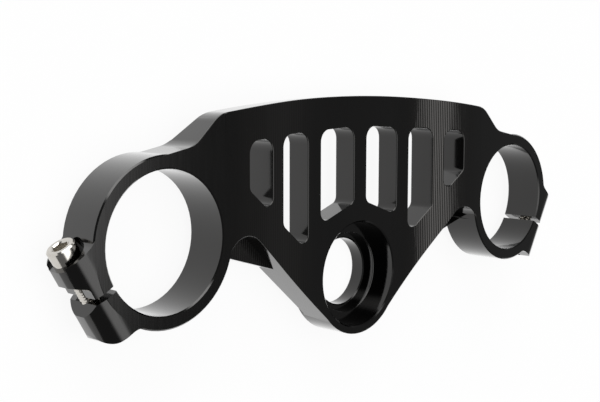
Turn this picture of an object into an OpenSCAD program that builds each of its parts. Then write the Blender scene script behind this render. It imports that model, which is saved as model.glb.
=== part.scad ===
// Upper triple clamp of a motorcycle, milled from one billet, with two pinch screws.
// Origin: on the axis of the steering stem bore, at the underside of the stem boss.
// +Z runs up along the bores, +X from the stem to the right-hand fork, +Y towards the arched edge.

/* [Fork clamps] */
// Diameter of each fork bore
fork_d = 50; // [46:0.5:54]
// Distance between the two fork axes
fork_spacing = 209; // [204:1:216]
// Distance of the fork axes ahead of the stem axis
fork_offset = 24.6; // [22:0.1:27]
// Wall of each clamp ring
ring_wall = 5; // [4:0.25:7]
// Height of each clamp ring
ring_h = 18; // [16:0.5:24]
// Chamfer on the edges of the rings and bores
edge_chamfer = 0.5; // [0.2:0.1:0.8]

/* [Stem boss] */
// Outer diameter of the boss
boss_d = 50; // [49:0.5:54]
// How far the boss stands below the clamp rings
boss_stand = 3.5; // [2:0.25:6]
// Chamfer round the lower edge of the boss
boss_chamfer = 2; // [0.5:0.25:3]
// Diameter of the stem bore
stem_d = 28; // [24:0.5:30]
// Diameter of the nut recess
nut_d = 43.5; // [40:0.5:45]
// Depth of the nut recess below the dished face
nut_depth = 6.8; // [4:0.2:8]
// Diameter of the washer seat under the nut
washer_d = 33.5; // [32:0.5:38]
// Depth of the washer seat below the nut recess
washer_depth = 3.3; // [1:0.1:4]

/* [Plate] */
// Depth of the dished face at the stem
dish_depth = 4.9; // [2:0.1:6]
// Half width of the flat floor of the dish
dish_floor_x = 20; // [10:1:24]
// Distance from the stem axis at which the dish runs out
dish_end_x = 78; // [70:1:84]
// Distance of the arched edge from the stem axis, at its middle
arch_y = 73.3; // [72:0.1:76]
// Radius of the arched edge
arch_r = 580; // [450:10:800]
// Where the arched edge ends in the shoulder
shoulder_x = 80.6; // [79:0.1:82]
// Angle of the slope below the shoulder
shoulder_angle = 43; // [41:0.5:45]
// Rounding of the shoulder
shoulder_r = 12; // [6:1:14]
// Where the slope meets the line to the ring
foot_x = 92.3; // [91:0.1:93]
// Rounding at the foot of the slope
foot_r = 10; // [4:1:14]
// Angle of the line from the foot to the ring
foot_angle = 8.5; // [6:0.5:11]
// Angle of the two edges that run from the boss to the rings
v_angle = 41.5; // [40:0.5:43]
// Thickness of the arched edge
arch_edge_h = 9.5; // [7:0.1:12]
// Angle of the tapered underside along the arched edge
taper_angle = 35; // [28:1:40]
// Depth of the pocket in the underside
pocket_depth = 3; // [1:0.25:4]
// Width of the rib round the pocket
rib_w = 8; // [6:0.5:10]
// Rounding of the corners of the pocket
pocket_r = 6; // [3:0.5:8]

/* [Scoops beside the rings] */
// Where each scoop is centred
scoop_x = 67; // [66:0.25:68]
// Radius of the cutter that makes the scoop
scoop_r = 9.8; // [9:0.1:10.5]
// Depth of the scoop's floor at its head
scoop_head = 8.3; // [5:0.1:9]
// Depth of the scoop's floor at its mouth
scoop_depth = 9.4; // [7:0.1:11]
// Length over which the floor sinks from the head to the mouth
scoop_run = 14.6; // [12:0.2:17]
// Where the ledge below the scoop leaves the straight edge
ledge_x = 45.2; // [43:0.1:48]

/* [Slots] */
// Inner side of the inner slot
slot_a_in = 3.9; // [3.5:0.1:5]
// Outer side of the inner slot
slot_a_out = 23.5; // [22.5:0.1:24.5]
// Inner side of the middle slot
slot_b_in = 31.2; // [30:0.1:32]
// Outer side of the middle slot
slot_b_out = 46.3; // [45.5:0.1:47.5]
// Inner side of the outer slot
slot_c_in = 52.9; // [52:0.1:54]
// Outer side of the outer slot
slot_c_out = 65.9; // [65:0.1:66.5]
// Top of the inner slots above the stem axis
slot_a_top = 61; // [59:0.1:62.5]
// Top of the middle slots above the stem axis
slot_b_top = 59.8; // [58:0.1:61]
// Top of the outer slots above the stem axis
slot_c_top = 58.3; // [56.5:0.1:59]
// Drop of each slot's top edge towards its outer side
slot_top_drop = 1; // [0:0.1:1.5]
// Rounding of the slots' top corners
slot_top_r = 5; // [3:0.25:6]
// Lower end of the inner slots' outer side, above the stem axis
slot_a_low = 22.8; // [22:0.1:25]
// Lower end of the middle slots' outer side
slot_b_low = 24.7; // [24:0.1:27]
// Lower end of the outer slots' outer side
slot_c_low = 39.6; // [38:0.1:41]
// Fall of the inner slots' lower edge, towards its outer side
slot_fall_angle = 20; // [15:1:25]
// Rise of the other slots' lower edge, towards its outer side
slot_rise_angle = 37.5; // [34:0.5:41]
// Rounding of the slots' lower corners
slot_low_r = 3.25; // [2.5:0.25:4.5]

/* [Pinch lugs] */
// Direction of the lugs, below the line through the forks
lug_angle = 30; // [25:1:35]
// Distance of the lugs' end face from the fork axis
lug_end = 36.7; // [36:0.1:38]
// Height of the upper lug's end above the slit's middle plane
lug_top = 14.8; // [14.5:0.1:15.5]
// Slope of the upper lug's top
lug_slope = 11; // [8:0.5:14]
// Depth of the lower lug below the slit's middle plane
lug_low = 17.2; // [16:0.1:19]
// Rounding of the lower lug's corner
lug_corner_r = 5; // [3:0.5:6]
// Rounding between lug and ring
lug_blend_r = 7; // [4:0.5:8]
// Distance of the lugs' rounded nose from the fork axis
nose_centre = 28; // [27.5:0.1:29]
// Width of the slit
slit_w = 2.1; // [1.5:0.1:3]
// Distance from the fork axis at which the slit widens
mouth_start = 32.6; // [32:0.1:33.5]
// Rise of the upper lip where the slit widens
mouth_step = 5; // [4:0.1:6]
// Opening of the upper lip at the end face
mouth_top = 8; // [7:0.1:9]
// Opening of the lower lip at the end face
mouth_low = 4; // [3:0.1:5]
// Rounding inside the upper lip
mouth_r = 2; // [1:0.1:2.5]

/* [Pinch screws] */
// Thread diameter of the screws
screw_d = 6; // [5:0.5:6.5]
// Length of the screws under the head
screw_l = 30; // [26:0.5:31]
// Chamfer at the screws' tips
tip_chamfer = 0.5; // [0.2:0.1:0.9]
// Diameter of the screw heads
head_d = 10; // [9:0.1:11]
// Height of the screw heads
head_h = 6; // [5:0.1:7]
// Chamfer on the screw heads
head_chamfer = 0.5; // [0.2:0.1:0.9]
// Width across the flats of the hex sockets
socket_af = 5; // [4:0.5:6]
// Depth of the hex sockets
socket_depth = 3.2; // [2:0.1:4]
// Distance of the screw axes from the fork axes
screw_radius = 30.6; // [30:0.1:31]
// Height of the screw's seat above the slit's middle plane
seat_h = 14; // [13:0.1:14.5]
// Radius of the spot face round the screw's head
seat_r = 7; // [6:0.1:7.2]
// Clearance round the screw in the upper lug, on the radius
screw_clearance = 0.3; // [0.1:0.05:0.6]
// Clearance round the screw in the lower lug, on the radius
thread_clearance = 0.05; // [0.02:0.01:0.1]

/* [Hidden] */

// Facets of the round parts, and the turn of one step along an arc in an outline
$fn = 120;
arc_step = 6;
// Facets of the large cone that tapers the underside
cone_facets = 360;
// How far a cutter stands past the face that it cuts
over = 1;
// How deep an edge that runs up to a round part ends inside it
bite = 0.25;
// Direction, from the right fork axis, in which the ledge's edge ends
ledge_end_angle = 196.5;
// Steps of the dish's curved profile, and of half the arched edge
curve_steps = 16;
arch_steps = 14;

top_z = boss_stand + ring_h;
mid_z = boss_stand + ring_h / 2;
face_z = top_z - dish_depth;
fork_r = fork_d / 2;
ring_r = fork_r + ring_wall;
boss_r = boss_d / 2;
screw_r = screw_d / 2;
wall_mid_r = fork_r + ring_wall / 2;
ring_in_r = ring_r - edge_chamfer - bite;
fork_x = fork_spacing / 2;
fork_c = [fork_x, fork_offset];

// A point at radius r and angle a
function polar(r, a) = [r * cos(a), r * sin(a)];

// Points on a circle of radius r about centre, from angle a to angle b
function arc(centre, r, a, b) =
    let (steps = max(2, ceil(abs(b - a) / arc_step)))
    [for (i = [0 : steps]) centre + polar(r, a + (b - a) * i / steps)];

function unit(v) = v / norm(v);

// The same points as corners that aren't rounded
function sharp(points) = [for (p = points) [p.x, p.y, 0]];

// The same outline on the left side, in reverse, without its points on the middle line
function mirrored(points) =
    [for (i = [len(points) - 1 : -1 : 0]) if (points[i].x > 0) [-points[i].x, points[i].y]];

// The arc of radius r that rounds corner q between its neighbours p and s
function arc_at(p, q, s, r) =
    let (
        to_p = unit(p - q),
        to_s = unit(s - q),
        half = acos(to_p * to_s) / 2,
        centre = q + unit(to_p + to_s) * r / sin(half),
        first = q + to_p * r / tan(half) - centre,
        turn = (180 - 2 * half) * sign(cross(q - p, s - q)),
        start = atan2(first.y, first.x)
    )
    arc(centre, r, start, start + turn);

// A closed outline from corners [x, y, r], each rounded by its radius r
function rounded(corners) =
    let (n = len(corners), p = [for (c = corners) [c.x, c.y]])
    [for (i = [0 : n - 1])
        each corners[i].z == 0 ? [p[i]] : arc_at(p[(i + n - 1) % n], p[i], p[(i + 1) % n], corners[i].z)];

// A smooth step from 0 to 1, made of two parabolas
function blend(u) = u < 0.5 ? 2 * u * u : 1 - 2 * (1 - u) * (1 - u);

// Height of the arched edge at distance x from the middle
function arch_at(x) = arch_y - arch_r + sqrt(arch_r * arch_r - x * x);

// The straight edge that is tangent to the boss: its start, and its height at x
v_start = polar(boss_r - bite, v_angle - 90);
function v_at(x) = v_start.y + (x - v_start.x) * tan(v_angle);

shoulder = [shoulder_x, arch_at(shoulder_x)];
foot = shoulder + [foot_x - shoulder_x, (shoulder_x - foot_x) * tan(shoulder_angle)];
ring_top = fork_c + polar(ring_in_r, 90 - foot_angle);
ledge_start = [ledge_x, v_at(ledge_x)];
ledge_end = fork_c + polar(ring_in_r, ledge_end_angle);
scoop_c = [scoop_x, v_at(scoop_x) - scoop_r / cos(v_angle)];

// Right half of the plate's outline, from the boss round to the middle of the arched edge
plate_right = rounded([
    [0, 0, 0],
    [v_start.x, v_start.y, 0],
    [ledge_start.x, ledge_start.y, 0],
    [ledge_end.x, ledge_end.y, 0],
    each sharp(arc(fork_c, wall_mid_r, ledge_end_angle, 90 - foot_angle)),
    [ring_top.x, ring_top.y, 0],
    [foot.x, foot.y, foot_r],
    [shoulder.x, shoulder.y, shoulder_r],
    each [for (i = [arch_steps - 1 : -1 : 0]) let (x = shoulder_x * i / arch_steps) [x, arch_at(x), 0]]]);
plate_right_open = [for (i = [1 : len(plate_right) - 1]) plate_right[i]];

// Right half of the pocket in the underside, past the arched edge so that it opens into the taper
pocket_side_x = fork_x - ring_r - rib_w + 2 * bite;
pocket_low_y = scoop_c.y + scoop_r + bite;
pocket_corner_x = v_start.x + (pocket_low_y - rib_w / cos(v_angle) - v_start.y) / tan(v_angle);
pocket_right = rounded([
    [0, 0, 0],
    [v_start.x, v_start.y + rib_w / cos(v_angle), 0],
    [pocket_corner_x, pocket_low_y, pocket_r],
    [pocket_side_x, pocket_low_y, pocket_r],
    [pocket_side_x, arch_y + over, 0],
    [0, arch_y + over, 0]]);

// What is drawn for the right side, on both sides
module both_sides() {
    children();
    mirror([1, 0, 0]) children();
}

// A profile drawn in X and Z, extruded along Y from y0 to y1
module along_y(y0, y1) {
    translate([0, y1, 0]) rotate([90, 0, 0]) linear_extrude(y1 - y0) children();
}

// A profile drawn in Y and Z, extruded along X from x0 to x1
module along_x(x0, x1) {
    translate([x0, 0, 0]) rotate([90, 0, 90]) linear_extrude(x1 - x0) children();
}

// Places its children, drawn with +X out along the lugs and +Y across the slit, at the right ring
module at_lugs() {
    translate([fork_c.x, fork_c.y, 0]) rotate([0, 0, -lug_angle]) children();
}

// A turned piece with chamfered edges: radius r from z0 to z1, with chamfers low and high
module turned(r, z0, z1, low, high) {
    rotate_extrude() polygon([[0, z0], [r - low, z0], [r, z0 + low], [r, z1 - high], [r - high, z1], [0, z1]]);
}

// A bore of radius r from z0 to z1 with chamfered rims
module chamfered_bore(r, z0, z1, low, high) {
    rotate_extrude() polygon([
        [0, z0 - over], [r + low + over, z0 - over], [r, z0 + low],
        [r, z1 - high], [r + high + over, z1 + over], [0, z1 + over]]);
}

// The space above the dished face: a flat floor that rises to the rings in two tangent curves
module dish_cut() {
    rise_w = dish_end_x - dish_floor_x;
    right = [for (i = [0 : curve_steps])
        [dish_floor_x + rise_w * i / curve_steps, face_z + dish_depth * blend(i / curve_steps)]];
    along_y(-boss_r - over, arch_y + over)
        polygon([each right, [dish_end_x, top_z + over], [-dish_end_x, top_z + over], each mirrored(right)]);
}

// What the tapered underside leaves of the plate: the inside of a cone about the centre of the arch
module taper_keep() {
    drop = arch_edge_h / tan(taper_angle);
    out = arch_r + drop;
    base_r = out - (top_z + over) / tan(taper_angle);
    translate([0, arch_y - arch_r, 0]) rotate_extrude($fn = cone_facets) polygon([
        [arch_r - arch_y - boss_r, -over], [base_r, -over], [out, top_z], [out, top_z + over],
        [arch_r - arch_y - boss_r, top_z + over]]);
}

// One scoop between a straight edge and a ring: a round head, and a floor that sinks to the ledge
module scoop_cut() {
    head_y = scoop_c.y + scoop_r;
    low_y = v_start.y;
    intersection() {
        linear_extrude(top_z + over) polygon([
            ledge_start,
            each arc(scoop_c, scoop_r, 90 + v_angle, 0),
            [scoop_c.x + scoop_r, low_y],
            [ledge_x, low_y]]);
        along_x(v_start.x - over, scoop_c.x + scoop_r + over) polygon([
            [head_y + over, top_z - scoop_head],
            [head_y - scoop_run, top_z - scoop_depth],
            [low_y - over, top_z - scoop_depth],
            [low_y - over, top_z + over],
            [head_y + over, top_z + over]]);
    }
}

// The plate with its tapered rear edge, pocketed underside and scoops, before the round parts are added
module plate() {
    difference() {
        intersection() {
            translate([0, 0, boss_stand]) linear_extrude(ring_h)
                polygon([each plate_right_open, each mirrored(plate_right_open)]);
            taper_keep();
        }
        translate([0, 0, boss_stand - over]) linear_extrude(pocket_depth + over)
            polygon([each pocket_right, each mirrored(pocket_right)]);
        both_sides() scoop_cut();
    }
}

// One slot from its two sides, its top, the lower end of its outer side and the rise of its lower edge
module slot(x_in, x_out, top, low, rise) {
    low_in = low - (x_out - x_in) * tan(rise);
    translate([0, 0, -over]) linear_extrude(top_z + 2 * over) polygon(rounded([
        [x_in, top, slot_top_r],
        [x_in, low_in, slot_low_r],
        [x_out, low, slot_low_r],
        [x_out, top - slot_top_drop, slot_top_r]]));
}

// The three slots of the right side. Their lower edges follow the boss, the straight edge and the ring.
module slots() {
    slot(slot_a_in, slot_a_out, slot_a_top, slot_a_low, -slot_fall_angle);
    slot(slot_b_in, slot_b_out, slot_b_top, slot_b_low, slot_rise_angle);
    slot(slot_c_in, slot_c_out, slot_c_top, slot_c_low, slot_rise_angle);
}

// The two lugs as one block: its outline across the slit, blended into the ring, cut to the rounded nose
module lugs() {
    blend_c = ring_in_r + lug_blend_r;
    top_d = lug_top * cos(lug_slope) + lug_end * sin(lug_slope);
    top_a = asin((top_d + lug_blend_r) / blend_c) - lug_slope;
    low_a = -asin((lug_low + lug_blend_r) / blend_c);
    at_lugs() intersection() {
        translate([0, 0, boss_stand]) linear_extrude(ring_h) polygon(rounded([
            each sharp(arc([0, 0], wall_mid_r, low_a, top_a)),
            each sharp(arc(polar(blend_c, top_a), lug_blend_r, top_a + 180, 270 - lug_slope)),
            [lug_end, lug_top, 0],
            [lug_end, -lug_low, lug_corner_r],
            each sharp(arc(polar(blend_c, low_a), lug_blend_r, 90, low_a + 180))]));
        along_y(-ring_r, ring_r) polygon([
            [0, boss_stand],
            each arc([nose_centre, mid_z], ring_h / 2, -90, 90),
            [0, top_z]]);
    }
}

// The slit and the wider mouth that it opens into, across the lugs
module slit_cut() {
    past = lug_end + over;
    half_w = slit_w / 2;
    at_lugs() linear_extrude(top_z + over) polygon(rounded([
        [fork_r - over, -half_w, 0],
        [mouth_start + over / 2, -half_w, 0],
        [past, -mouth_low - over, 0],
        [past, mouth_top + over / 2, 0],
        [mouth_start, mouth_step, mouth_r],
        [mouth_start, half_w, 0],
        [fork_r - over, half_w, 0]]));
}

// The screw's holes in both lugs and the spot face under its head
module screw_holes() {
    at_lugs() translate([screw_radius, 0, mid_z]) rotate([-90, 0, 0]) {
        cylinder(r = screw_r + screw_clearance, h = ring_r);
        translate([0, 0, seat_h]) cylinder(r = seat_r, h = ring_r);
        translate([0, 0, -lug_low - over]) cylinder(r = screw_r + thread_clearance, h = lug_low + over);
    }
}

// The stem bore with its washer seat and nut recess, turned as one profile
module stem_bore_cut() {
    washer_z = face_z - nut_depth;
    stem_z = washer_z - washer_depth;
    stem_r = stem_d / 2;
    nut_r = nut_d / 2;
    rotate_extrude() polygon([
        [0, -over], [stem_r, -over], [stem_r, stem_z - edge_chamfer], [stem_r + edge_chamfer, stem_z],
        [washer_d / 2, stem_z], [washer_d / 2, washer_z], [nut_r, washer_z],
        [nut_r, face_z - edge_chamfer], [nut_r + edge_chamfer + over, face_z + over], [0, face_z + over]]);
}

// The whole clamp, one piece of billet
module clamp_body() {
    color("#2b2927") difference() {
        union() {
            plate();
            turned(boss_r, 0, top_z, boss_chamfer, 0);
            both_sides() translate([fork_c.x, fork_c.y, 0])
                turned(ring_r, boss_stand, top_z, edge_chamfer, edge_chamfer);
            both_sides() lugs();
        }
        dish_cut();
        both_sides() translate([fork_c.x, fork_c.y, 0])
            chamfered_bore(fork_r, boss_stand, top_z, edge_chamfer, edge_chamfer);
        both_sides() slots();
        both_sides() slit_cut();
        both_sides() screw_holes();
        stem_bore_cut();
    }
}

// A socket head cap screw, head up along +Z, with its seat at z = 0
module cap_screw() {
    rim_r = socket_af / 2 / cos(30) + head_chamfer / 2;
    difference() {
        union() {
            turned(head_d / 2, 0, head_h, 0, head_chamfer);
            translate([0, 0, -screw_l]) turned(screw_r, 0, screw_l + over, tip_chamfer, 0);
        }
        translate([0, 0, head_h - socket_depth])
            cylinder(d = socket_af / cos(30), h = socket_depth + over, $fn = 6);
        translate([0, 0, head_h - head_chamfer])
            cylinder(r1 = rim_r - head_chamfer, r2 = rim_r + over, h = head_chamfer + over);
    }
}

// The pinch screw of the right-hand clamp, in its seat on the upper lug
module pinch_bolt_right() {
    color("#c9c7c2") at_lugs() translate([screw_radius, seat_h, mid_z]) rotate([-90, 0, 0]) cap_screw();
}

// The pinch screw of the left-hand clamp
module pinch_bolt_left() {
    mirror([1, 0, 0]) pinch_bolt_right();
}

clamp_body();
pinch_bolt_left();
pinch_bolt_right();
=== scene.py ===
# Upper triple clamp of a motorcycle: one piece of black anodised billet with two polished pinch screws.
# Metres, in the frame of the CAD part: +Z along the bores, +X to the right fork, +Y to the arched edge.
import math
import bmesh
import bpy
from mathutils import Matrix, Vector


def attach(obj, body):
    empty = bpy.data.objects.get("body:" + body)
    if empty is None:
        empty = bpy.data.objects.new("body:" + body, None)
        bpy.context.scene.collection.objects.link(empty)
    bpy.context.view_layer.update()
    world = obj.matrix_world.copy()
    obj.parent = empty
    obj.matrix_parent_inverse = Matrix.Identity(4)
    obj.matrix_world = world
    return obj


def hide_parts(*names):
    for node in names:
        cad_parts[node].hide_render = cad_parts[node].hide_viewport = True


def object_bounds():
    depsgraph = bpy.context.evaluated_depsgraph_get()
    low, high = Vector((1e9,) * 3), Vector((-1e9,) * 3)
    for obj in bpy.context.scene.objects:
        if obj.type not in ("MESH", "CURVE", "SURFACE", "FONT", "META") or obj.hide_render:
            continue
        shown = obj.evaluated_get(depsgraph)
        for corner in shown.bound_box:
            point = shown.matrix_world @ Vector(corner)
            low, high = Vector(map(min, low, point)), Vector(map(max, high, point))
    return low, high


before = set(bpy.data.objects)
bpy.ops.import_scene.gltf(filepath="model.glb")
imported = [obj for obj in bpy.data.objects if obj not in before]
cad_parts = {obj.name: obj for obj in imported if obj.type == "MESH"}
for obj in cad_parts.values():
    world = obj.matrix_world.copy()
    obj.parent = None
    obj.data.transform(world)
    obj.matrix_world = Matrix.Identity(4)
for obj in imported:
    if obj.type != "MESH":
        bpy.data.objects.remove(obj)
cad_low, cad_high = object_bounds()
MM = 0.001


# ---- The clamp ----
# The real piece is milled from one billet of aluminium: the dished face with a ball cutter in fine
# passes, the slots and the outline with an end mill. Its outer edges are broken, and the whole is
# anodised black. It is the CAD node's shape with its edges rounded, those of the lugs excepted.
EDGE_BREAK = 0.3 * MM               # what the deburring takes off an edge
CREASE = math.radians(24)           # a fold steeper than this is a crease, the rest is one curved surface
CORNER = math.radians(60)           # an outer corner steeper than this is broken
SHORT_EDGE = 0.01 * MM              # shorter edges, at the meeting of three pieces, stay as they are
STRIP_GAP = 0.5 * MM                # a line of the dished face that runs closer than this to a slot's side goes
LUG_INNER = Vector((0.112, 0.036))  # the lugs, whose edges stay as the CAD has them, are farther out and lower
WELD = 0.01 * MM                    # points of the CAD mesh closer than this are one point
FLAT = math.radians(0.3)            # neighbours that lie within this angle are one face
SLOPE_MIDDLE = 52 * MM              # the middle of each slope of the face, from the stem bore
SLOPE_HALF = 24 * MM                # half its width
SLOPE_FADE = 10 * MM                # the cutter's steps fade in over this width
CUTTER_STEP = 1.1 * MM              # from one step of the ball cutter to the next
DYE_PATCH = 30 * MM                 # the width of a patch in the dye
GRAIN = 0.25 * MM                   # the grain of the anodised skin, coarser than real so that it shows


def srgb(hex_colour):
    """The linear colour of an sRGB hex value."""
    parts = [int(hex_colour[i:i + 2], 16) / 255 for i in (1, 3, 5)]
    return (*(c / 12.92 if c <= 0.04045 else ((c + 0.055) / 1.055) ** 2.4 for c in parts), 1.0)


def add(tree, kind, links=None, **settings):
    """Adds one node. Settings are its properties, links its inputs: a socket to join or a value."""
    node = tree.nodes.new(kind)
    for name, value in settings.items():
        setattr(node, name, value)
    for name, value in (links or {}).items():
        socket = node.inputs[name]
        if isinstance(value, bpy.types.NodeSocket):
            tree.links.new(value, socket)
        else:
            socket.default_value = value
    return node


def drop_close_lines(work):
    """Joins two strips of the dished face whose common line runs within an edge break of a slot's side."""
    def is_side(edge):
        return edge.calc_length() > 2 * MM and abs((edge.verts[0].co - edge.verts[1].co).normalized().y) > 0.99

    def overlap(edge, side):
        spans = [sorted(vert.co.y for vert in each.verts) for each in (edge, side)]
        return min(spans[0][1], spans[1][1]) > max(spans[0][0], spans[1][0])

    sides = [edge for edge in work.edges if is_side(edge) and edge.calc_face_angle(0) > CORNER]
    close = [edge for edge in work.edges if is_side(edge) and edge.calc_face_angle(1) < math.radians(2)
             and any(abs(edge.verts[0].co.x - side.verts[0].co.x) < STRIP_GAP and overlap(edge, side)
                     for side in sides)]
    bmesh.ops.dissolve_edges(work, edges=close, use_verts=False)


def merged_copy(node_name, name):
    """A copy of a CAD node's mesh with its loose triangles joined and its flat faces made whole."""
    mesh = bpy.data.meshes.new(name)
    work = bmesh.new()
    work.from_mesh(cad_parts[node_name].data)
    bmesh.ops.remove_doubles(work, verts=work.verts, dist=WELD)
    bmesh.ops.dissolve_degenerate(work, dist=WELD, edges=work.edges)
    bmesh.ops.dissolve_limit(work, angle_limit=FLAT, verts=work.verts, edges=work.edges)
    drop_close_lines(work)
    broken = work.edges.layers.float.new("bevel_weight_edge")
    for face in work.faces:
        face.smooth = True
    for edge in work.edges:
        fold = edge.calc_face_angle(0)
        edge.smooth = fold < CREASE
        middle = (edge.verts[0].co + edge.verts[1].co) / 2
        on_lug = abs(middle.x) > LUG_INNER.x and middle.y < LUG_INNER.y
        outer = fold > CORNER and edge.is_convex and edge.calc_length() > SHORT_EDGE
        edge[broken] = float(outer and not on_lug)
    work.to_mesh(mesh)
    work.free()
    piece = bpy.data.objects.new(name, mesh)
    bpy.context.scene.collection.objects.link(piece)
    return piece


def black_anodised():
    """Black anodised aluminium, milled: dark metal under a clear, hard oxide skin that gives the gloss,
    with the passes of the cutter as fine lines along the arched edge's direction."""
    material = bpy.data.materials.new("black_anodised_aluminium")
    material.use_nodes = True
    tree = material.node_tree
    shader = tree.nodes["Principled BSDF"]
    shader.inputs["Metallic"].default_value = 1.0
    shader.inputs["Coat Weight"].default_value = 1.0
    shader.inputs["Coat IOR"].default_value = 1.5
    place = add(tree, "ShaderNodeTexCoord").outputs["Object"]

    # Patches of slightly browner and greyer dye
    cloud = add(tree, "ShaderNodeTexNoise", {"Vector": place, "Scale": 1 / DYE_PATCH, "Detail": 3.0})
    dye = add(tree, "ShaderNodeMix", {"Factor": cloud.outputs["Fac"], 6: srgb("#141312"), 7: srgb("#1e1d1c")},
              data_type="RGBA")

    # The cutter's lines run along the walls and along Y on the face, about half a millimetre apart
    normal = add(tree, "ShaderNodeSeparateXYZ", {0: add(tree, "ShaderNodeTexCoord").outputs["Normal"]})
    is_face = add(tree, "ShaderNodeMath", {0: normal.outputs["Z"], 1: 0.6}, operation="GREATER_THAN")
    marks = []
    for scale in ((20, 20, 0.45), (0.6, 14, 14)):
        squeeze = add(tree, "ShaderNodeMapping", {"Vector": place, "Scale": [1 / (size * MM) for size in scale]})
        marks.append(add(tree, "ShaderNodeTexNoise", {"Vector": squeeze.outputs[0], "Scale": 1.0, "Detail": 2.0}))
    passes = add(tree, "ShaderNodeMix", {"Factor": is_face.outputs[0], 2: marks[0].outputs["Fac"],
                                         3: marks[1].outputs["Fac"]})

    # On the two slopes of the face the ball cutter left a step at about every millimetre; the steps are bumped, and
    # also painted lighter as a painted sheen on their ridges
    across = add(tree, "ShaderNodeSeparateXYZ", {0: place})
    out = add(tree, "ShaderNodeMath", {0: across.outputs["X"]}, operation="ABSOLUTE")
    middle = add(tree, "ShaderNodeMath", {0: out.outputs[0], 1: SLOPE_MIDDLE}, operation="SUBTRACT")
    slope = add(tree, "ShaderNodeMapRange", {
        "Value": add(tree, "ShaderNodeMath", {0: middle.outputs[0]}, operation="ABSOLUTE").outputs[0],
        "From Min": SLOPE_HALF, "From Max": SLOPE_HALF - SLOPE_FADE})
    steps = add(tree, "ShaderNodeTexWave", {"Vector": place, "Scale": math.pi / 10 / CUTTER_STEP, "Distortion": 0.0})
    stepped = add(tree, "ShaderNodeMath", {0: slope.outputs[0], 1: is_face.outputs[0]}, operation="MULTIPLY")
    ribs = add(tree, "ShaderNodeMath", {0: stepped.outputs[0], 1: steps.outputs["Fac"]}, operation="MULTIPLY")
    # Painted sheen: the base colour is lightened to #302d2a along the steps' ridges, standing in for light caught there
    rib_sheen_painted = add(tree, "ShaderNodeMix", {"Factor": ribs.outputs[0], 6: dye.outputs[2], 7: srgb("#302d2a")},
               data_type="RGBA")
    tree.links.new(rib_sheen_painted.outputs[2], shader.inputs["Base Color"])

    grain = add(tree, "ShaderNodeTexNoise", {"Vector": place, "Scale": 1 / GRAIN, "Detail": 2.0})
    lines = add(tree, "ShaderNodeBump", {"Strength": 0.25, "Distance": 0.02 * MM, "Height": passes.outputs[0]})
    ridged = add(tree, "ShaderNodeBump", {"Strength": 0.6, "Distance": 0.04 * MM, "Height": ribs.outputs[0],
                                          "Normal": lines.outputs[0]})
    fine = add(tree, "ShaderNodeBump", {"Strength": 0.03, "Distance": 0.01 * MM, "Height": grain.outputs["Fac"],
                                        "Normal": ridged.outputs[0]})
    tree.links.new(fine.outputs[0], shader.inputs["Normal"])
    tree.links.new(fine.outputs[0], shader.inputs["Coat Normal"])
    rough = add(tree, "ShaderNodeMapRange", {"Value": passes.outputs[0], "To Min": 0.06, "To Max": 0.16})
    tree.links.new(rough.outputs[0], shader.inputs["Roughness"])
    tree.links.new(rough.outputs[0], shader.inputs["Coat Roughness"])
    return material


def break_edges(piece, width):
    """Rounds the picked corners of a piece and keeps its flat faces flat in the light."""
    breaks = piece.modifiers.new("edge_breaks", "BEVEL")
    breaks.limit_method = "WEIGHT"
    breaks.width = width
    breaks.segments = 2
    breaks.use_clamp_overlap = False
    shading = piece.modifiers.new("flat_faces_stay_flat", "WEIGHTED_NORMAL")
    shading.keep_sharp = True


clamp = merged_copy("clamp_body", "clamp")
clamp.data.materials.append(black_anodised())
break_edges(clamp, EDGE_BREAK)
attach(clamp, "root")
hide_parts("clamp_body")


# ---- The pinch screws ----
# Two M6 socket head cap screws of stainless steel, turned and polished, that pull each split clamp shut
# on its fork leg. The head sits in a spot face on the upper lug and the thread runs in the lower one.
def polished_stainless():
    """Polished stainless steel: bright, hardly rough, with smudges in its tone and roughness."""
    material = bpy.data.materials.new("polished_stainless_steel")
    material.use_nodes = True
    tree = material.node_tree
    shader = tree.nodes["Principled BSDF"]
    shader.inputs["Metallic"].default_value = 1.0
    place = add(tree, "ShaderNodeTexCoord").outputs["Object"]
    smudge = add(tree, "ShaderNodeTexNoise", {"Vector": place, "Scale": 1 / SMUDGE, "Detail": 3.0})
    tone = add(tree, "ShaderNodeMix", {"Factor": smudge.outputs["Fac"], 6: srgb("#bdb9b2"), 7: srgb("#d6d3cd")},
               data_type="RGBA")
    tree.links.new(tone.outputs[2], shader.inputs["Base Color"])
    rough = add(tree, "ShaderNodeMapRange", {"Value": smudge.outputs["Fac"], "To Min": 0.08, "To Max": 0.2})
    tree.links.new(rough.outputs[0], shader.inputs["Roughness"])
    return material


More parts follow.
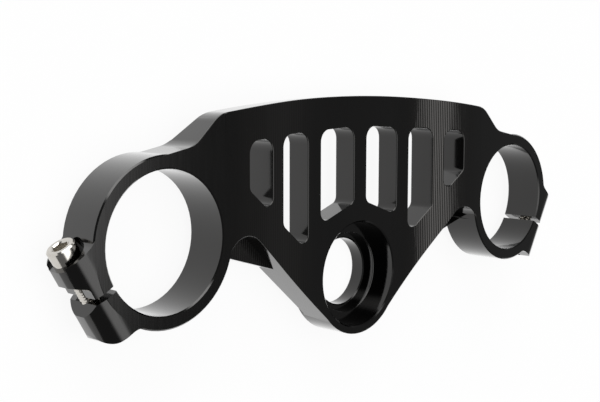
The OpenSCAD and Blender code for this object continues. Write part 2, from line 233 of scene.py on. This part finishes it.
def thread_tree(steel):
    """The ridge of a thread: a four-sided wire wound up a helix, half sunk in the screw's core."""
    tree = bpy.data.node_groups.new("thread_ridge", "GeometryNodeTree")
    sockets = {}
    for name, kind in (("Core radius", "NodeSocketFloat"), ("Depth", "NodeSocketFloat"), ("Length", "NodeSocketFloat"),
                       ("Turns", "NodeSocketFloat"), ("Steps", "NodeSocketInt")):
        sockets[name] = tree.interface.new_socket(name, in_out="INPUT", socket_type=kind).identifier
    tree.interface.new_socket("Geometry", in_out="OUTPUT", socket_type="NodeSocketGeometry")
    sizes = add(tree, "NodeGroupInput").outputs
    helix = add(tree, "GeometryNodeCurveSpiral", {
        "Resolution": sizes["Steps"], "Rotations": sizes["Turns"], "Start Radius": sizes["Core radius"],
        "End Radius": sizes["Core radius"], "Height": sizes["Length"]})
    level = add(tree, "GeometryNodeSetCurveNormal", {"Curve": helix.outputs[0]})
    if hasattr(level, "mode"):
        level.mode = "Z_UP"
    wire = add(tree, "GeometryNodeCurvePrimitiveCircle", {"Resolution": 4, "Radius": sizes["Depth"]})
    ridge = add(tree, "GeometryNodeCurveToMesh", {"Curve": level.outputs[0], "Profile Curve": wire.outputs[0],
                                                 "Fill Caps": True})
    flat = add(tree, "GeometryNodeSetShadeSmooth", {"Geometry": ridge.outputs[0], "Shade Smooth": False})
    whole = add(tree, "GeometryNodeRealizeInstances", {"Geometry": flat.outputs[0]})
    finished = add(tree, "GeometryNodeSetMaterial", {"Geometry": whole.outputs[0], "Material": steel})
    add(tree, "NodeGroupOutput", {"Geometry": finished.outputs[0]})
    return tree, sockets


def thread_mesh(steel):
    """The ridge of one thread as a plain mesh, along +Z from zero."""
    tree, sockets = thread_tree(steel)
    holder = bpy.data.objects.new("thread", bpy.data.meshes.new("thread"))
    bpy.context.scene.collection.objects.link(holder)
    winding = holder.modifiers.new("thread", "NODES")
    winding.node_group = tree
    for name, value in (("Core radius", CORE_RADIUS), ("Depth", THREAD_DEPTH), ("Length", THREAD_LENGTH),
                        ("Turns", THREAD_LENGTH / PITCH), ("Steps", STEPS_A_TURN)):
        winding[sockets[name]] = value
    mesh = bpy.data.meshes.new_from_object(holder.evaluated_get(bpy.context.evaluated_depsgraph_get()))
    bpy.data.objects.remove(holder)
    return mesh


PITCH = 1.0 * MM                    # of an M6 thread
CORE_RADIUS = 2.45 * MM
THREAD_DEPTH = 0.54 * MM            # how far the ridge stands out of the core
THREAD_LENGTH = 27.0 * MM
STEPS_A_TURN = 20
SCREW_RADIUS = 3.0 * MM
SCREW_LENGTH = 30.0 * MM
HEAD_EDGE = 0.12 * MM               # what is turned off the edges of the head
SMUDGE = 3 * MM                     # the width of a smudge on the polish
# The right screw's seat, and the way that its head points; the left one is its mirror image
SEAT = Vector((0.1380, 0.02142, 0.0125))
HEAD_WAY = Vector((0.5, math.sqrt(0.75), 0.0))

steel = polished_stainless()
thread = thread_mesh(steel)
for side, sign in (("left", -1), ("right", 1)):
    screw = merged_copy("pinch_bolt_" + side, "pinch_screw_" + side)
    way = Vector((sign * HEAD_WAY.x, HEAD_WAY.y, 0.0))
    seat = Vector((sign * SEAT.x, SEAT.y, SEAT.z))
    work = bmesh.new()
    work.from_mesh(screw.data)
    # The shank thins to the core of the thread, and the ridge is wound round it
    for vert in work.verts:
        along = (vert.co - seat).dot(way)
        out = vert.co - seat - along * way
        if along < 0.5 * MM and 0.5 * SCREW_RADIUS < out.length < 1.02 * SCREW_RADIUS:
            vert.co -= out * (1 - CORE_RADIUS / SCREW_RADIUS)
    ridge = bmesh.new()
    ridge.from_mesh(thread)
    turn = Vector((0, 0, 1)).rotation_difference(way).to_matrix().to_4x4()
    bmesh.ops.transform(ridge, matrix=Matrix.Translation(seat - (SCREW_LENGTH - PITCH) * way) @ turn, verts=ridge.verts)
    placed = bpy.data.meshes.new("thread_placed")
    ridge.to_mesh(placed)
    work.from_mesh(placed)
    work.to_mesh(screw.data)
    for done in (ridge, work):
        done.free()
    screw.data.materials.clear()
    screw.data.materials.append(steel)
    break_edges(screw, HEAD_EDGE)
    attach(screw, "root")
    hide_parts("pinch_bolt_" + side)


# ---- Floor, light and camera ----
# A white table in a small studio with plain soft light: an even grey surround, a soft box overhead and a large
# window beyond the arched edge. The same light falls on every piece.
FLOOR_HALF = 4.0
SHOWN_WHITE = 0.92                  # the share of the table that shows as plain white; the rest keeps the shadow
SURROUND = "#6a6a6a"
SOFT_EDGE = 5                       # degrees over which a light fades, on each side of its rim
# Compass angle, height and half width in degrees, then strength, where one is white
OVERHEAD_BOX = (0, 90, 35, 2.0)
WINDOW = (105, 10, 30, 4.0)
floor_mesh = bpy.data.meshes.new("floor")
floor_mesh.from_pydata(
    [(x * FLOOR_HALF, y * FLOOR_HALF, cad_low.z) for x, y in ((-1, -1), (1, -1), (1, 1), (-1, 1))], [], [(0, 1, 2, 3)])
floor = bpy.data.objects.new("floor", floor_mesh)
bpy.context.scene.collection.objects.link(floor)
paper = bpy.data.materials.new("white_paper")
paper.use_nodes = True
paper_tree = paper.node_tree
paper_tree.nodes.clear()
seen = add(paper_tree, "ShaderNodeLightPath")
mirrored = add(paper_tree, "ShaderNodeMath", {0: seen.outputs["Is Glossy Ray"], 1: seen.outputs["Is Transmission Ray"]},
               operation="MAXIMUM")
shown = add(paper_tree, "ShaderNodeMath", {0: seen.outputs["Is Camera Ray"], 1: mirrored.outputs[0]},
            operation="MAXIMUM")
keep = add(paper_tree, "ShaderNodeMath", {0: shown.outputs[0], 1: SHOWN_WHITE}, operation="MULTIPLY")
lit = add(paper_tree, "ShaderNodeBsdfDiffuse", {"Color": srgb("#fafafa")})
glow = add(paper_tree, "ShaderNodeEmission", {"Color": (1, 1, 1, 1), "Strength": 1.0})
both = add(paper_tree, "ShaderNodeMixShader", {0: keep.outputs[0], 1: lit.outputs[0], 2: glow.outputs[0]})
add(paper_tree, "ShaderNodeOutputMaterial", {"Surface": both.outputs[0]})
floor_mesh.materials.append(paper)

world = bpy.data.worlds.new("studio")
bpy.context.scene.world = world
world.use_nodes = True
studio = world.node_tree
studio.nodes.clear()
ray = add(studio, "ShaderNodeLightPath")
toward = add(studio, "ShaderNodeTexCoord").outputs["Generated"]
light = add(studio, "ShaderNodeBackground", {"Color": srgb(SURROUND), "Strength": 1.0})
for azimuth, elevation, half_width, strength in (OVERHEAD_BOX, WINDOW):
    place = Vector((math.cos(math.radians(azimuth)) * math.cos(math.radians(elevation)),
                    math.sin(math.radians(azimuth)) * math.cos(math.radians(elevation)),
                    math.sin(math.radians(elevation))))
    near = add(studio, "ShaderNodeVectorMath", {0: toward, 1: place}, operation="DOT_PRODUCT")
    inside = add(studio, "ShaderNodeMapRange", {"Value": near.outputs["Value"],
                                                "From Min": math.cos(math.radians(half_width + SOFT_EDGE)),
                                                "From Max": math.cos(math.radians(half_width - SOFT_EDGE))},
                 interpolation_type="SMOOTHSTEP")
    box = add(studio, "ShaderNodeBackground", {"Color": (1, 1, 1, 1), "Strength": strength})
    light = add(studio, "ShaderNodeMixShader", {0: inside.outputs[0], 1: light.outputs[0], 2: box.outputs[0]})
white = add(studio, "ShaderNodeBackground", {"Color": (1, 1, 1, 1), "Strength": 1.0})
room = add(studio, "ShaderNodeMixShader", {0: ray.outputs["Is Camera Ray"], 1: light.outputs[0], 2: white.outputs[0]})
add(studio, "ShaderNodeOutputWorld", {"Surface": room.outputs[0]})

# The camera was fitted to the outlines of the bores and rings in the photograph
lens = bpy.data.cameras.new("camera")
lens.lens = 63.34
lens.sensor_width = 36.0
lens.clip_start = 0.01
camera = bpy.data.objects.new("camera", lens)
bpy.context.scene.collection.objects.link(camera)
right = Vector((0.69611367, 0.00159042, 0.71792983))
up = Vector((0.07735603, 0.99400959, -0.07720738))
camera.matrix_world = Matrix.LocRotScale(
    Vector((-0.32636, 0.07766, 0.29857)), Matrix((right, up, right.cross(up))).transposed().to_quaternion(), None)
bpy.context.scene.camera = camera
bpy.context.scene.view_settings.view_transform = "Standard"
